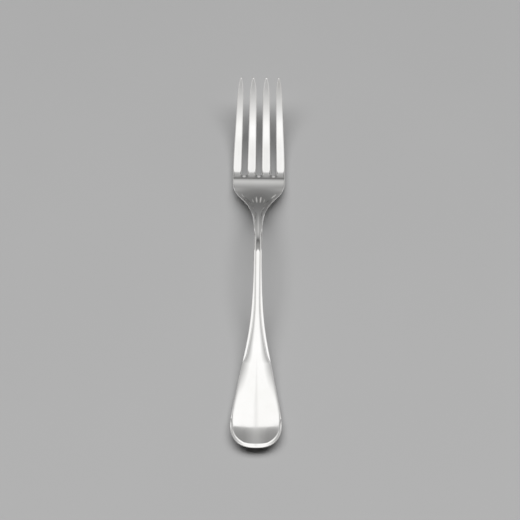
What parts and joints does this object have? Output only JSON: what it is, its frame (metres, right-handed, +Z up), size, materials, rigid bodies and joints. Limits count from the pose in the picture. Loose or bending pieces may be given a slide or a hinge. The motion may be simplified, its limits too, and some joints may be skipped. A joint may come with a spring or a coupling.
{
  "type": "baby fork",
  "caption": "Small table fork with a curved slotted head, a slim ledged stem and a broad rounded handle end, in polished silver plate.",
  "frame": {"origin": "on the table, under the middle of the fork's outer box as it lies tines up", "axes": "+Y from the handle end to the tine tips, +Z up from the table, +X to the right when the tines point away"},
  "size_m": [0.02, 0.15, 0.0126],
  "materials": {
    "silver_plate": "polished"
  },
  "bodies": {
    "root": {"fork_body": "silver_plate", "tine_1": "silver_plate", "tine_2": "silver_plate", "tine_3": "silver_plate", "tine_4": "silver_plate"}
  },
  "joints": []
}
